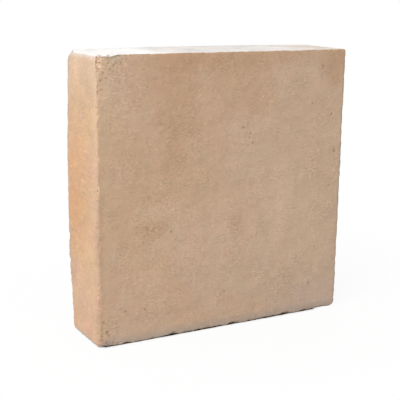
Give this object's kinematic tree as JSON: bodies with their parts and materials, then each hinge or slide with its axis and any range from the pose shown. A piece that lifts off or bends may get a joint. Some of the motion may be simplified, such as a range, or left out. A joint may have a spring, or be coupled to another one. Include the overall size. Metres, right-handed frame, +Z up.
{
  "type": "square clay brick",
  "caption": "Square flat brick of fired clay, hand-moulded, with worn arrises and chipped corners, for walls, facings and paving.",
  "frame": {"origin": "middle of the edge face that the brick stands on", "axes": "+X along the lower edge to the right, +Y from the front square face to the back one, +Z up"},
  "size_m": [0.2017, 0.05, 0.2008],
  "materials": {
    "fired_clay": "matte"
  },
  "bodies": {
    "root": {"clay_brick": "fired_clay"}
  },
  "joints": []
}
